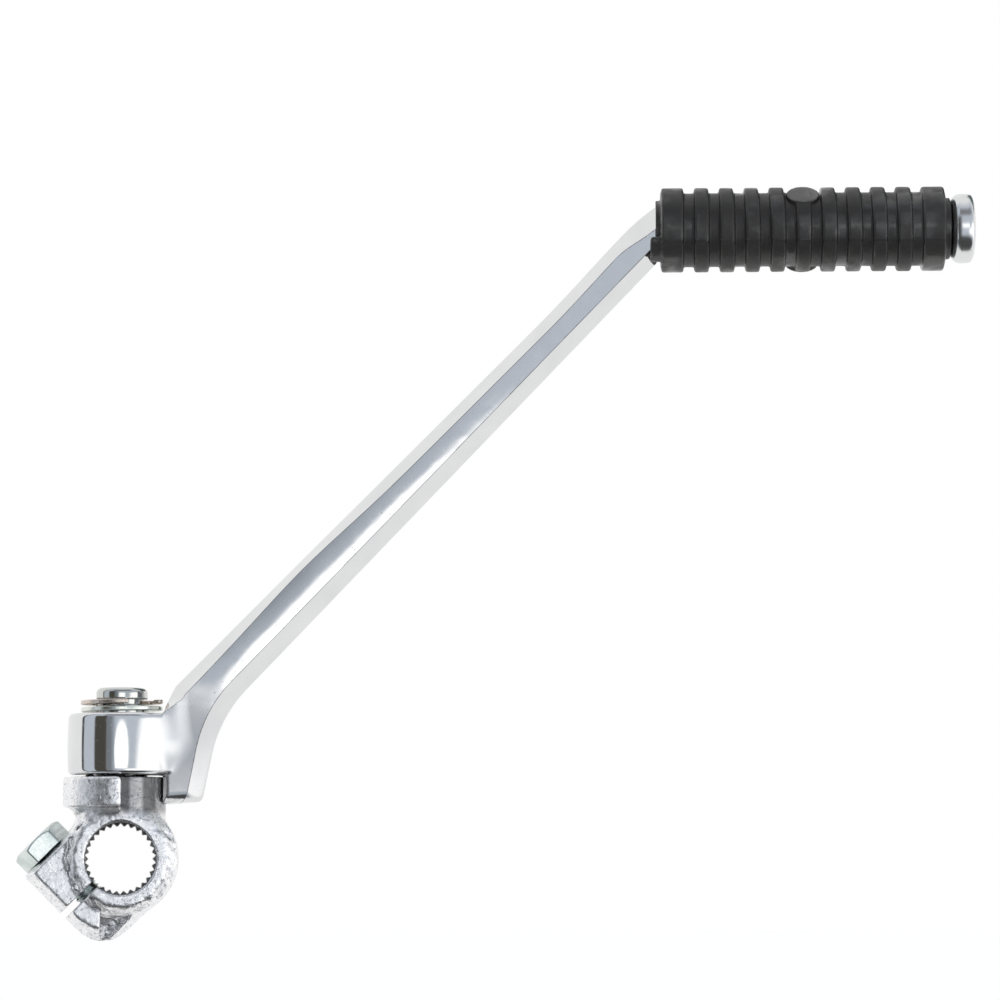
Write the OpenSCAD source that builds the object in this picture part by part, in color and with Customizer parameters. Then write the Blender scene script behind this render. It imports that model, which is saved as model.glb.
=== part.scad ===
// Folding kick start lever: a splined clamp boss with an upright pivot post, and a
// forged arm that swings on it and carries a ribbed rubber foot grip.
// Origin: the middle of the splined bore. +X runs towards the foot grip, +Z is up
// along the pivot post, and the bore lies along Y.

/* [Splined clamp] */
// Radius inside the tips of the serrations
bore_r = 8.9; // [8:0.1:10]
// Depth of a serration groove
serration_depth = 0.85; // [0.5:0.05:1.1]
// Number of serrations
serration_count = 30; // [24:1:36]
// Width of a groove at the tips of the serrations
serration_w = 1.05; // [0.7:0.05:1.2]
// Length of the bore
bore_len = 24; // [20:0.5:28]
// Outer radius of the ring around the bore
ring_r = 16.1; // [15:0.1:18]
// How far the ring's side slopes in at each face
ring_slope = 3.2; // [1:0.1:4]
// Depth of the ring's slope
ring_slope_depth = 4; // [2:0.1:6]
// Chamfer at the mouth of the bore
mouth_chamfer = 1.3; // [1:0.1:1.6]
// Width of the clamp slit
slit_w = 1.9; // [1.2:0.1:2.5]
// Direction of the slit in the plane of the lever
slit_angle = 225; // [215:1:235]

/* [Clamp ears] */
// Reach of the ears from the bore's middle, along the slit
ear_reach = 22; // [20:0.5:25]
// Distance of the bolt's seat from the slit's middle
seat_offset = 15.1; // [13:0.1:17]
// Distance of the plain ear's side from the slit's middle
plain_offset = 14.8; // [13:0.1:17]
// Half thickness of the ears
ear_half = 9.5; // [8:0.5:11]
// Half width of the flat side, between the bevels
ear_flat_half = 5; // [4:0.5:7]
// How far the bevel runs in at the ears' faces
ear_bevel = 2.6; // [1:0.1:3]
// How far the bevel runs in at the bolt's seat
seat_bevel = 1.1; // [0.5:0.1:2]
// Corner radius of the ear under the bolt's head
seat_corner_r = 1.5; // [1:0.1:2.5]
// Corner radius of the plain ear
plain_corner_r = 7; // [5:0.5:8]

/* [Pinch bolt] */
// Distance of the bolt's axis from the bore's middle
bolt_offset = 12.85; // [12.8:0.05:14]
// Radius of the bolt
bolt_r = 3.9; // [3:0.05:4]
// Length under the head
bolt_len = 25; // [22:0.5:28]
// Hexagon of the head, across its flats
bolt_flats = 14; // [12:0.5:15]
// Height of the head
bolt_head_h = 5.4; // [4:0.1:6]
// Turn of the hexagon about its axis
bolt_turn = 6; // [0:1:60]
// Radial clearance in the ear under the head
bolt_clearance = 0.3; // [0.1:0.05:0.4]
// Radial clearance of the tapped hole round the plain shank
thread_clearance = 0.05; // [0.03:0.01:0.1]

/* [Collar and pivot post] */
// Radius of the collar that carries the arm
collar_r = 16; // [15:0.1:17]
// Height of the collar's top, on which the arm turns
collar_top = 22.6; // [21:0.1:25]
// Height of the collar
collar_h = 8.5; // [6:0.1:10]
// Rounding of the collar's edges
collar_round = 1.2; // [0.5:0.1:2]
// Radius of the neck, which is also the recess that the arm's lug swings round
neck_r = 12.4; // [11:0.1:13]
// Direction in which the recess ends at the front
front_stop = -90; // [-100:1:-80]
// Clearance angle between the lug and the rear stop when the arm is folded in
rear_stop_play = 1.5; // [1:0.1:4]
// Radius of the pivot post
post_r = 7.15; // [6:0.05:8]
// Height of the post's head above the clip's groove
post_head = 3.15; // [2.5:0.05:5]
// Rounding of the post's top edge
post_round = 1.4; // [0.5:0.1:2.5]
// Radius of the post in the clip's groove
groove_r = 6; // [5:0.1:6.5]
// Height of the clip's groove
groove_h = 1.6; // [1.3:0.1:2]
// Height of the groove's lower edge above the washer
groove_gap = 0.55; // [0.3:0.05:1.5]

/* [Washer and clip] */
// Outer radius of the washer
washer_r = 11.3; // [10:0.1:13]
// Thickness of the washer
washer_t = 1.2; // [0.8:0.1:1.4]
// Clearance of the washer round the post
washer_clearance = 0.2; // [0.1:0.05:0.4]
// Height of the washer above the barrel
washer_gap = 0.65; // [0.4:0.05:0.9]
// Tilt of the loose washer
washer_tilt = 1.2; // [0:0.1:1.5]
// Outer radius of the clip
clip_r = 11.4; // [10:0.1:13]
// Width of the clip's bow
clip_bow_w = 2.6; // [2:0.1:3]
// Thickness of the clip
clip_t = 1.15; // [0.9:0.05:1.2]
// Tilt of the clip in its groove
clip_tilt = 0.9; // [0:0.1:1]
// Direction in which the clip is open
clip_open_at = -47; // [-180:1:180]
// Angle of the clip's opening
clip_open = 66; // [50:1:80]
// Width of each of the clip's three feet
clip_foot_w = 4.4; // [3:0.1:5]

/* [Arm barrel] */
// Running clearance between the barrel and the post
pivot_clearance = 0.05; // [0.03:0.01:0.09]
// Gap between the collar's top and the barrel
barrel_gap = 0.45; // [0.3:0.05:0.7]
// Height of the barrel
barrel_h = 17.1; // [16:0.1:17.6]
// Radius of the barrel at its ends
barrel_end_r = 14.7; // [13.8:0.1:15]
// Radius of the barrel at half its height
barrel_mid_r = 14.95; // [14.5:0.05:15.5]
// Rounding of the barrel's edges
barrel_round = 0.8; // [0.3:0.1:1.5]
// Radius of the hollow where the barrel runs into the arm's faces
web_fillet_r = 16; // [10:0.5:20]

/* [Arm] */
// Swing of the folded arm towards the front
rest_swing = 8.2; // [4:0.1:12]
// Half thickness of the arm
arm_half = 6.6; // [6:0.1:7]
// Half thickness of the stop lug
lug_half = 5.6; // [4.5:0.1:6]
// Angle of the shank's upper side
shank_top_angle = 45; // [42:0.5:48]
// Height at which the line of the shank's upper side crosses the pivot's axis
shank_top_z = 33.1; // [31:0.1:35]
// Distance of the arm's shoulder at the foot grip from the pivot's axis
shoulder_x = 149.4; // [140:0.1:160]
// Width of the shank at its lower end
shank_root_w = 15.3; // [13:0.1:16]
// Width of the shank at the foot grip
shank_tip_w = 11.7; // [11:0.1:14]
// Width of the bevel at the shank's lower end
root_bevel = 4.2; // [3:0.1:5]
// Width of the bevel at the foot grip
tip_bevel = 3.3; // [2.5:0.1:4]
// Clearance of the lug round the neck
lug_clearance = 0.35; // [0.3:0.05:0.6]
// Depth of the lug below the barrel
lug_drop = 7.6; // [6:0.1:8]
// Width of the lug at its lower end
lug_w = 10.1; // [8:0.1:11]
// How far the arm's top side starts inside the barrel's edge
web_step = 3.3; // [2:0.1:5]
// Lean of the lug's outer side
lug_lean = 11.4; // [8:0.1:14]
// Radius where the lug's outer side bends into the shank
elbow_r = 36; // [12:1:45]

/* [Foot peg and grip] */
// Depth of the peg's axis below the shoulder's top
peg_drop = 7.2; // [6:0.1:9]
// Radius of the peg
peg_r = 6.5; // [5.5:0.1:6.5]
// Radius of the upset end
cap_r = 9.7; // [9:0.1:11]
// Length of the upset end
cap_len = 7.2; // [5:0.1:9]
// Rounding of the upset end's outer edge
cap_round = 3; // [1:0.1:3.5]
// Gap between the arm's shoulder and the rubber's lip
shoulder_gap = 0.3; // [0.25:0.05:0.6]
// Length of the rubber's lip at the inner end
grip_lip_len = 0.7; // [0.5:0.1:1.5]
// Radius of that lip
grip_lip_r = 8.3; // [7.5:0.1:9]
// Length of the rubber's ribbed stretch
grip_len = 78.9; // [70:0.1:90]
// Radius of the ribs
rib_r = 11.8; // [11:0.1:13]
// Radius in the grooves between the ribs
grip_groove_r = 10.3; // [9:0.1:10.8]
// Number of ribs
rib_count = 11; // [9:2:13]
// Width of the two end ribs
end_rib_w = 6.3; // [4:0.1:8]
// Width of the ribs between them
rib_w = 4.2; // [3:0.1:4.5]
// Radius of the rubber's neck at the outer end
grip_neck_r = 8.6; // [8:0.1:9.4]
// Length of that neck
grip_neck_len = 1.8; // [1:0.1:3]
// Clearance of the rubber round the peg
grip_clearance = 0.1; // [0.05:0.05:0.3]
// Radius of the round pads moulded into the ribs
pad_r = 4.6; // [3:0.1:6]
// Height of the pads' faces above the grip's axis
pad_face = 11.2; // [10.8:0.1:11.5]
// Direction of the pad, up from the front
pad_angle = 52; // [0:1:90]
// Length of the tongue that keys the rubber to the arm
tongue_len = 3; // [2:0.1:4]
// Inner radius of the tongue
tongue_r = 9.5; // [9.4:0.1:10.5]
// Directions in which the tongue starts and ends, down from the front
tongue_from = 16; // [5:1:20]
tongue_to = 64; // [45:1:70]

/* [Detent] */
// Radius of the detent ball
ball_r = 2.38; // [2:0.02:2.5]
// Distance of the ball from the pivot's axis
ball_offset = 10.95; // [10.8:0.05:11.1]
// Clearance of the ball in its hole
ball_clearance = 0.07; // [0.05:0.01:0.1]
// Direction of the ball's hole in the arm
ball_at = 150; // [130:1:170]
// Drop of the ball into its dimple
ball_drop = 0.4; // [0.3:0.05:0.5]
// Gap between the raised ball and the collar
ball_gap = 0.05; // [0.03:0.01:0.1]
// Depth of the ball's hole
ball_hole_h = 12.5; // [10:0.5:14]
// Swing between the two dimples
swing_range = 54; // [50:1:54]
// Wire diameter of the detent spring
spring_wire = 0.6; // [0.4:0.05:0.8]
// Radius of the spring's coil, at the wire's middle
spring_r = 1.75; // [1.5:0.05:1.8]
// Turns of the spring
spring_turns = 6; // [4:1:8]

/* [Hidden] */
$fn = 96;
overshoot = 1;
hull_fn = 32;
seam = 0.5;

collar_bottom = collar_top - collar_h;
barrel_bottom = collar_top + barrel_gap;
barrel_top = barrel_bottom + barrel_h;
barrel_bore_r = post_r + pivot_clearance;
washer_z = barrel_top + washer_gap + washer_t / 2;
groove_z = barrel_top + washer_gap + washer_t + groove_gap;
clip_z = groove_z + groove_h / 2;
post_top = groove_z + groove_h + post_head;
lug_inner_r = neck_r + lug_clearance;
lug_bottom = barrel_bottom - lug_drop;
lug_angle = asin(lug_half / lug_inner_r);
rear_stop = lug_angle - rest_swing + rear_stop_play;
ball_z = collar_top + ball_gap + ball_r;
ball_track_turn = ball_at - rest_swing;

// The line of the shank's upper side, and the arm's shoulder at the foot grip
function top_line(x) = shank_top_z + x * tan(shank_top_angle);
shoulder_h = shank_tip_w / cos(shank_top_angle);
shoulder_top = top_line(shoulder_x);
shoulder_low = shoulder_top - shoulder_h;
peg_z = shoulder_top - peg_drop;
grip_x = shoulder_x + shoulder_gap + grip_lip_len;
grip_end = grip_x + grip_len;
cap_x = grip_end + grip_neck_len;

// The shank's lower side runs from the elbow's corner to the shoulder
lug_outer_x = lug_inner_r + lug_w;
shank_root_x = lug_outer_x + (barrel_top - lug_bottom) * tan(lug_lean);
shank_root_z = top_line(shank_root_x) - shank_root_w / cos(shank_top_angle);
shank_low_angle = atan2(shoulder_low - shank_root_z, shoulder_x - shank_root_x);
elbow_turn = 90 - lug_lean - shank_low_angle;
lug_foot_x = lug_outer_x - lug_bottom * tan(lug_lean);
elbow_z = (shank_root_z - (shank_root_x - lug_foot_x) * tan(shank_low_angle))
        / (1 - tan(lug_lean) * tan(shank_low_angle));
elbow_x = lug_outer_x + (elbow_z - lug_bottom) * tan(lug_lean);
elbow_tangent = elbow_r * tan(elbow_turn / 2);
elbow_centre = [elbow_x + elbow_tangent * cos(shank_low_angle) + elbow_r * sin(shank_low_angle),
                elbow_z + elbow_tangent * sin(shank_low_angle) - elbow_r * cos(shank_low_angle)];

// A shape drawn in the plane of the lever, cut out of the solid from y0 to y1
module in_lever_plane(y0, y1)
    translate([0, y1, 0]) rotate([90, 0, 0]) linear_extrude(y1 - y0) children();

// Turns children from X onto the slit's direction
module along_slit() rotate([0, -slit_angle, 0]) children();

// Turns children from Z onto the pinch bolt's axis, with the head's side up
module along_bolt() along_slit() translate([bolt_offset, 0, 0]) rotate([180, 0, 0]) children();

module arm_frame() rotate([0, 0, -rest_swing]) children();

// Points of a quarter round at the corner of a turned profile
function round_corner(r, z, radius, from, steps = 3) =
    [for (i = [0 : steps]) let (a = from + 90 * i / steps)
        [r + radius * cos(a), z + radius * sin(a)]];

// A flat wedge between two directions, wide enough to cut the collar
module sector(from, to, radius)
    polygon(concat([[0, 0]], [for (i = [0 : 8]) let (a = from + (to - from) * i / 8)
        [radius * cos(a), radius * sin(a)]]));

module serration_groove()
    translate([bore_r, 0]) polygon([[-seam, -serration_w / 2 - seam * serration_w / serration_depth / 2],
                                    [-seam, serration_w / 2 + seam * serration_w / serration_depth / 2],
                                    [serration_depth, 0]]);

module splined_bore() {
    rotate([90, 0, 0]) cylinder(r = bore_r, h = bore_len + 2 * overshoot, center = true);
    in_lever_plane(-bore_len, bore_len)
        for (i = [0 : serration_count - 1])
            rotate(360 * (i + 0.5) / serration_count) serration_groove();
    for (side = [-1, 1])
        rotate([90 * side, 0, 0]) translate([0, 0, bore_len / 2 - mouth_chamfer])
            cylinder(r1 = bore_r, r2 = bore_r + mouth_chamfer + overshoot, h = mouth_chamfer + overshoot);
}

module clamp_ring()
    rotate([90, 0, 0]) rotate_extrude()
        polygon([[0, -bore_len / 2], [ring_r - ring_slope, -bore_len / 2],
                 [ring_r, -bore_len / 2 + ring_slope_depth], [ring_r, bore_len / 2 - ring_slope_depth],
                 [ring_r - ring_slope, bore_len / 2], [0, bore_len / 2]]);

// One level of the two ears before the slit parts them
module ear_level(half, bevel, seat_in) {
    rotate([90, 0, 0]) linear_extrude(2 * half, center = true) {
        translate([ear_reach - bevel - seat_corner_r, -seat_offset + seat_in + seat_corner_r])
            circle(seat_corner_r, $fn = hull_fn);
        translate([ear_reach - bevel - plain_corner_r, plain_offset - bevel - plain_corner_r])
            circle(plain_corner_r, $fn = hull_fn);
        translate([0, -seat_offset + seat_in])
            square([seam, seat_offset + plain_offset - seat_in - bevel]);
    }
}

module clamp_ears()
    along_slit() hull() {
        ear_level(ear_flat_half, 0, 0);
        ear_level(ear_half, ear_bevel, seat_bevel);
    }

module bolt_way(radius, from, to)
    along_bolt() translate([0, 0, from]) cylinder(r = radius, h = to - from);

// The collar all round, with the slope under it that runs in to the neck
module collar_turned() {
    slope_z = collar_bottom - collar_r + neck_r - seam;
    straight_r = collar_r - collar_round;
    rotate_extrude()
        polygon(concat([[0, slope_z], [neck_r - seam, slope_z], [straight_r, collar_bottom]],
                       round_corner(straight_r, collar_bottom + collar_round, collar_round, -90),
                       round_corner(straight_r, collar_top - collar_round, collar_round, 0),
                       [[0, collar_top]]));
}

module pivot_post()
    rotate_extrude()
        polygon(concat([[0, 0], [post_r, 0], [post_r, groove_z], [groove_r, groove_z],
                        [groove_r, groove_z + groove_h], [post_r, groove_z + groove_h]],
                       round_corner(post_r - post_round, post_top - post_round, post_round, 0),
                       [[0, post_top]]));

module ball_dimple(turn)
    rotate([0, 0, ball_track_turn - turn]) translate([ball_offset, 0, ball_z - ball_drop])
        sphere(r = ball_r + ball_clearance);

module boss()
    color("silver") difference() {
        union() {
            clamp_ring();
            clamp_ears();
            cylinder(r = neck_r, h = collar_top);
            intersection() {
                collar_turned();
                linear_extrude(collar_top + overshoot) sector(rear_stop, 360 + front_stop, 2 * collar_r);
            }
            pivot_post();
        }
        splined_bore();
        in_lever_plane(-collar_r, collar_r) rotate(slit_angle)
            translate([bore_r - seam, -slit_w / 2]) square([ear_reach, slit_w]);
        bolt_way(bolt_r + bolt_clearance, 0, seat_offset + overshoot);
        bolt_way(bolt_r + thread_clearance, -2 * plain_offset, 0);
        ball_dimple(0);
        ball_dimple(swing_range);
    }

module hexagon_head()
    intersection() {
        cylinder(r = bolt_flats / sqrt(3), h = bolt_head_h, $fn = 6);
        cylinder(r1 = bolt_flats / 2 + bolt_head_h * 1.6, r2 = bolt_flats / 2 - seam, h = bolt_head_h);
    }

module pinch_bolt()
    color("lightsteelblue") along_bolt() translate([0, 0, seat_offset]) {
        translate([0, 0, -bolt_len]) cylinder(r = bolt_r, h = bolt_len);
        rotate([0, 0, bolt_turn]) hexagon_head();
    }

module pivot_washer()
    color("darkseagreen") translate([0, 0, washer_z]) rotate([0, -washer_tilt, 0])
        difference() {
            cylinder(r = washer_r, h = washer_t, center = true);
            cylinder(r = post_r + washer_clearance, h = washer_t + overshoot, center = true);
        }

module clip_outline()
    rotate(clip_open_at) difference() {
        union() {
            difference() {
                circle(clip_r);
                circle(clip_r - clip_bow_w);
            }
            for (at = [90, 180, 270])
                rotate(at) translate([0, -clip_foot_w / 2])
                    square([clip_r - clip_bow_w / 2, clip_foot_w]);
        }
        circle(groove_r + pivot_clearance);
        sector(-clip_open / 2, clip_open / 2, 2 * clip_r);
    }

module retaining_clip()
    color("tan") translate([0, 0, clip_z]) rotate([0, -clip_tilt, 0])
        linear_extrude(clip_t, center = true) clip_outline();

// Stations of the forging, from the lug's end over the elbow to the shoulder: first the
// points on its lower side, then those that they face on its upper side
elbow_steps = 6;
low_side = concat(
    [[lug_outer_x, lug_bottom], [lug_outer_x + (lug_drop + seam) * tan(lug_lean), barrel_bottom + seam]],
    [for (i = [0 : elbow_steps]) let (a = 180 - lug_lean - elbow_turn * i / elbow_steps)
        [elbow_centre[0] + elbow_r * cos(a), elbow_centre[1] + elbow_r * sin(a)]],
    [[shoulder_x, shoulder_low]]);

elbow_end_x = low_side[elbow_steps + 2][0] - shank_root_w * sin(shank_top_angle);
high_side = concat(
    [[lug_inner_r - overshoot, lug_bottom], [lug_inner_r - overshoot, barrel_bottom + seam],
     [barrel_end_r - web_step, barrel_top - seam]],
    [for (i = [1 : elbow_steps]) let (x = barrel_end_r + (elbow_end_x - barrel_end_r) * i / elbow_steps)
        [x, top_line(x)]],
    [[shoulder_x, shoulder_top]]);

// The lug's inner side is square, so that it can meet the stops
function low_bevel(i) = i == len(low_side) - 1 ? tip_bevel : root_bevel;
function high_bevel(i) = i < 2 ? 0 : low_bevel(i);
function half_at(i) = i < 2 ? lug_half : arm_half;

// Six corners of the forging's section at a station: the parting line and both faces
function arm_section(i) =
    let (low = low_side[i], high = high_side[i], across = high - low,
         half = half_at(i), low_face = low + across / norm(across) * low_bevel(i),
         high_face = high - across / norm(across) * high_bevel(i))
    [[low[0], 0, low[1]], [low_face[0], -half, low_face[1]], [high_face[0], -half, high_face[1]],
     [high[0], 0, high[1]], [high_face[0], half, high_face[1]], [low_face[0], half, low_face[1]]];

module swept_arm() {
    n = len(low_side);
    polyhedron(
        points = [for (i = [0 : n - 1]) each arm_section(i)],
        faces = concat(
            [[for (k = [5 : -1 : 0]) k]],
            [[for (k = [0 : 5]) (n - 1) * 6 + k]],
            [for (i = [0 : n - 2]) for (k = [0 : 5]) each [
                [(i + 1) * 6 + k, i * 6 + k, (i + 1) * 6 + (k + 1) % 6],
                [(i + 1) * 6 + (k + 1) % 6, i * 6 + k, i * 6 + (k + 1) % 6]]]));
}

// Hollow that carries the barrel's round into the arm's flat faces
sink = 0.06;
fillet_y = arm_half + web_fillet_r - sink;
fillet_x = sqrt(pow(barrel_end_r + web_fillet_r - sink, 2) - pow(fillet_y, 2));
module web_fillet()
    translate([0, 0, barrel_bottom]) linear_extrude(barrel_h - barrel_round)
        difference() {
            polygon([[0, -barrel_end_r + seam], [0, barrel_end_r - seam],
                     [fillet_x, arm_half], [fillet_x, -arm_half]]);
            for (side = [-1, 1])
                translate([fillet_x, side * fillet_y]) circle(web_fillet_r);
        }

module barrel() {
    straight_r = barrel_end_r - barrel_round;
    rotate_extrude()
        polygon(concat([[0, barrel_bottom]],
                       round_corner(straight_r, barrel_bottom + barrel_round, barrel_round, -90),
                       [[barrel_mid_r, barrel_bottom + barrel_h / 2]],
                       round_corner(straight_r, barrel_top - barrel_round, barrel_round, 0),
                       [[0, barrel_top]]));
}

module foot_peg()
    translate([0, 0, peg_z]) rotate([0, 90, 0]) rotate_extrude()
        polygon(concat([[0, shoulder_x - seam], [peg_r, shoulder_x - seam], [peg_r, cap_x],
                        [cap_r - cap_round / 2, cap_x], [cap_r, cap_x + cap_round / 2]],
                       round_corner(cap_r - cap_round, cap_x + cap_len - cap_round, cap_round, 0),
                       [[0, cap_x + cap_len]]));

module arm()
    color("gainsboro") arm_frame() difference() {
        union() {
            barrel();
            web_fillet();
            swept_arm();
            foot_peg();
        }
        translate([0, 0, barrel_bottom - overshoot])
            cylinder(r = barrel_bore_r, h = barrel_h + 2 * overshoot);
        translate([0, 0, lug_bottom - overshoot])
            cylinder(r = lug_inner_r, h = lug_drop + overshoot);
        rotate([0, 0, ball_at]) translate([ball_offset, 0, barrel_bottom - overshoot])
            cylinder(r = ball_r + ball_clearance, h = ball_hole_h + overshoot);
    }

// Ribs with equal grooves between them
groove_w = (grip_len - 2 * end_rib_w - (rib_count - 2) * rib_w) / (rib_count - 1);
rib_pitch = rib_w + groove_w;
function rib_width(i) = i == 0 || i == rib_count - 1 ? end_rib_w : rib_w;
function rib_middle(i) = i == 0 ? end_rib_w / 2
    : i == rib_count - 1 ? grip_len - end_rib_w / 2
    : grip_len / 2 + (i - (rib_count - 1) / 2) * rib_pitch;
rib_rise = 0.35;
grip_profile = concat(
    [[0, -grip_lip_len], [grip_lip_r, -grip_lip_len], [grip_lip_r, 0]],
    [for (i = [0 : rib_count - 1]) let (mid = rib_middle(i), half = rib_width(i) / 2)
        each [[i == 0 ? rib_r - rib_rise : grip_groove_r, mid - half],
              [rib_r, mid - half + rib_rise], [rib_r, mid + half - rib_rise],
              [i == rib_count - 1 ? rib_r - rib_rise : grip_groove_r, mid + half]]],
    [[grip_neck_r, grip_len], [grip_neck_r, grip_len + grip_neck_len - grip_clearance],
     [0, grip_len + grip_neck_len - grip_clearance]]);

// One plain round pad, sunk into the ribs at the grip's middle
module grip_pad(angle)
    rotate([angle, 0, 0]) translate([grip_len / 2, 0, 0]) rotate([90, 0, 0])
        cylinder(r = pad_r, h = pad_face);

module foot_grip()
    color("dimgray") arm_frame() translate([grip_x, 0, peg_z]) difference() {
        union() {
            difference() {
                rotate([0, 90, 0]) rotate_extrude() polygon(grip_profile);
                for (angle = [-pad_angle, 180 - pad_angle])
                    rotate([angle, 0, 0]) translate([grip_len / 2, -pad_face, 0]) rotate([90, 0, 0])
                        cylinder(r = pad_r, h = rib_r);
            }
            for (angle = [-pad_angle, 180 - pad_angle])
                grip_pad(angle);
            translate([-tongue_len, 0, 0]) rotate([0, 90, 0]) linear_extrude(tongue_len + seam)
                intersection() {
                    difference() {
                        circle(rib_r - rib_rise);
                        circle(tongue_r);
                    }
                    rotate(-90) sector(tongue_from, tongue_to, 2 * rib_r);
                }
        }
        translate([-grip_lip_len - overshoot, 0, 0]) rotate([0, 90, 0])
            cylinder(r = peg_r + grip_clearance, h = grip_lip_len + grip_len + grip_neck_len + 2 * overshoot);
    }

module detent_ball()
    color("lightgray") arm_frame() rotate([0, 0, ball_at]) translate([ball_offset, 0, ball_z])
        sphere(r = ball_r);

// A coil spring between the ball and the end of its hole
spring_steps = 12;
spring_sides = 6;
spring_bottom = ball_z + sqrt(pow(ball_r + spring_wire / 2, 2) - pow(spring_r, 2)) + ball_gap;
spring_top = barrel_bottom + ball_hole_h - spring_wire / 2 - ball_gap;
function spring_point(i, k) =
    let (turn = i * 360 / spring_steps, side = k * 360 / spring_sides,
         rise = spring_bottom + (spring_top - spring_bottom) * i / (spring_turns * spring_steps),
         radius = spring_r + spring_wire / 2 * cos(side))
    [radius * cos(turn), radius * sin(turn), rise + spring_wire / 2 * sin(side)];

module detent_spring() {
    last = spring_turns * spring_steps;
    s = spring_sides;
    color("gray") arm_frame() rotate([0, 0, ball_at]) translate([ball_offset, 0, 0])
        polyhedron(
            points = [for (i = [0 : last]) for (k = [0 : s - 1]) spring_point(i, k)],
            faces = concat(
                [[for (k = [s - 1 : -1 : 0]) k]],
                [[for (k = [0 : s - 1]) last * s + k]],
                [for (i = [0 : last - 1]) for (k = [0 : s - 1]) each [
                    [(i + 1) * s + k, i * s + k, (i + 1) * s + (k + 1) % s],
                    [(i + 1) * s + (k + 1) % s, i * s + k, i * s + (k + 1) % s]]]));
}

boss();
arm();
foot_grip();
pinch_bolt();
pivot_washer();
retaining_clip();
detent_ball();
detent_spring();
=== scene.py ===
"""Kick start lever: the looks of its pieces, each built as a smooth solid from a distance field."""

import math

import bpy
import numpy as np
from mathutils import Matrix, Vector


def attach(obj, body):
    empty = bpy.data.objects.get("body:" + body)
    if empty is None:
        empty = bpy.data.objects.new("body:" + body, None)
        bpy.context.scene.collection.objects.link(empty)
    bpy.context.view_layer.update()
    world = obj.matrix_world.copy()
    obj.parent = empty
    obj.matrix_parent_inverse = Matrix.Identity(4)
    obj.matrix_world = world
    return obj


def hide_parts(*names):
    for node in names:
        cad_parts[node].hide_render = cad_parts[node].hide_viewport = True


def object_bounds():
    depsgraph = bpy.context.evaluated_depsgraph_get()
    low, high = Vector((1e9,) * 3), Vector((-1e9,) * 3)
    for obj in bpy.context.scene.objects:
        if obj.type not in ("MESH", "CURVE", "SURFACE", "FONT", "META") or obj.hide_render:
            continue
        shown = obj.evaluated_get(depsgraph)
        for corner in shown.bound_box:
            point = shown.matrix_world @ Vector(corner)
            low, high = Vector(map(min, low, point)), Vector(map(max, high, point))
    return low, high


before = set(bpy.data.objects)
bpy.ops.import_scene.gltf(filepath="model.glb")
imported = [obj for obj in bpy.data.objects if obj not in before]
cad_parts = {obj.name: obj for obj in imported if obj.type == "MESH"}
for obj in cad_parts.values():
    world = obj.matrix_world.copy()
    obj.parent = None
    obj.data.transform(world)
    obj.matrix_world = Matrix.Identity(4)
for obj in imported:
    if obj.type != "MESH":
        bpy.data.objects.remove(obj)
cad_low, cad_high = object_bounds()

MM = 0.001

# Camera: one metre in front of the bore, turned towards the middle of the lever
CAMERA_DISTANCE = 1000
CAMERA_YAW = 6.038
CAMERA_PITCH = 5.739
CAMERA_LENS = 128.56

# Floor, in metres, and the share of white that it adds in front of the camera
FLOOR_DROP = 0.06
FLOOR_HALF = 3.0
FLOOR_GLOW = 0.45

# Clamp boss, in millimetres in the row frame
BORE_R = 8.9
SERRATION_DEPTH = 0.85
SERRATION_COUNT = 30
SERRATION_TIP = 0.84
SERRATION_FLANK = 0.74
BORE_HALF = 12.0
RING_R = 16.1
RING_FACE_R = 12.9
RING_SIDE_HALF = 8.0
RING_DRAFT = 0.02
MOUTH_CHAMFER = 1.3
SLIT_W = 1.9
EAR_REACH = 22.0
SEAT_OFFSET = 15.1
PLAIN_OFFSET = 15.4
EAR_HALF = 9.5
EAR_FLAT_HALF = 5.0
EAR_BEVEL = 2.6
SEAT_BEVEL = 1.1
EAR_R = 11.0

# The step in the ears' faces beside the ring, the torn line along it and the forging's rough skin
STEP_X = 5.4
STEP_R = 13.3
STEP_Z = 8.0
STEP_RIM = 2.2
STEP_FLOOR = 7.9
STEP_FALL = 0.45
STEP_FALL_FROM = 13.6
TORN_R = 13.8
TORN_DEPTH = 9.7
TORN_W = 0.75
SKIN = 0.04
FINE_SKIN = 0.02
SKIN_TOP = 41.5

# Pinch bolt
BOLT_OFFSET = 12.85
BOLT_R = 3.9
BOLT_LEN = 25.0
BOLT_FLATS = 14.0
BOLT_HEAD_H = 5.4
BOLT_TURN = 3.0
BOLT_PITCH = 1.25
THREAD_DEPTH = 0.62
THREAD_START = 6.0
HOLE_CLEAR = 0.3
THREAD_CLEAR = 0.05

# Collar and post
COLLAR_R = 16.0
COLLAR_TOP = 22.6
COLLAR_H = 8.5
REAR_LIFT = 1.5
CONE_SLOPE = 1.05
CONE_LOW = 6.0
NECK_R = 12.4
FRONT_STOP = -90.0
REAR_STOP = 19.35
POST_R = 7.15
POST_TOP = 47.3
GROOVE_R = 6.0
GROOVE_Z = 42.55
GROOVE_H = 1.6

# Detent: the ball's hole in the arm and its two dimples in the collar
BALL_HOLE_R = 2.45
BALL_OFFSET = 10.95
BALL_AT = 150.0
BALL_HOLE_TOP = 35.55
DIMPLE_Z = 24.63
SWING_RANGE = 54.0

# Washer and clip
WASHER_R = 11.3
WASHER_T = 1.2
WASHER_Z = 41.4
WASHER_TILT = 1.2
CLIP_R = 11.4
CLIP_BOW_W = 2.6
CLIP_T = 1.15
CLIP_TILT = 0.9
CLIP_OPEN_AT = -47.0
CLIP_OPEN = 66.0
CLIP_FOOT_W = 4.4

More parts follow.
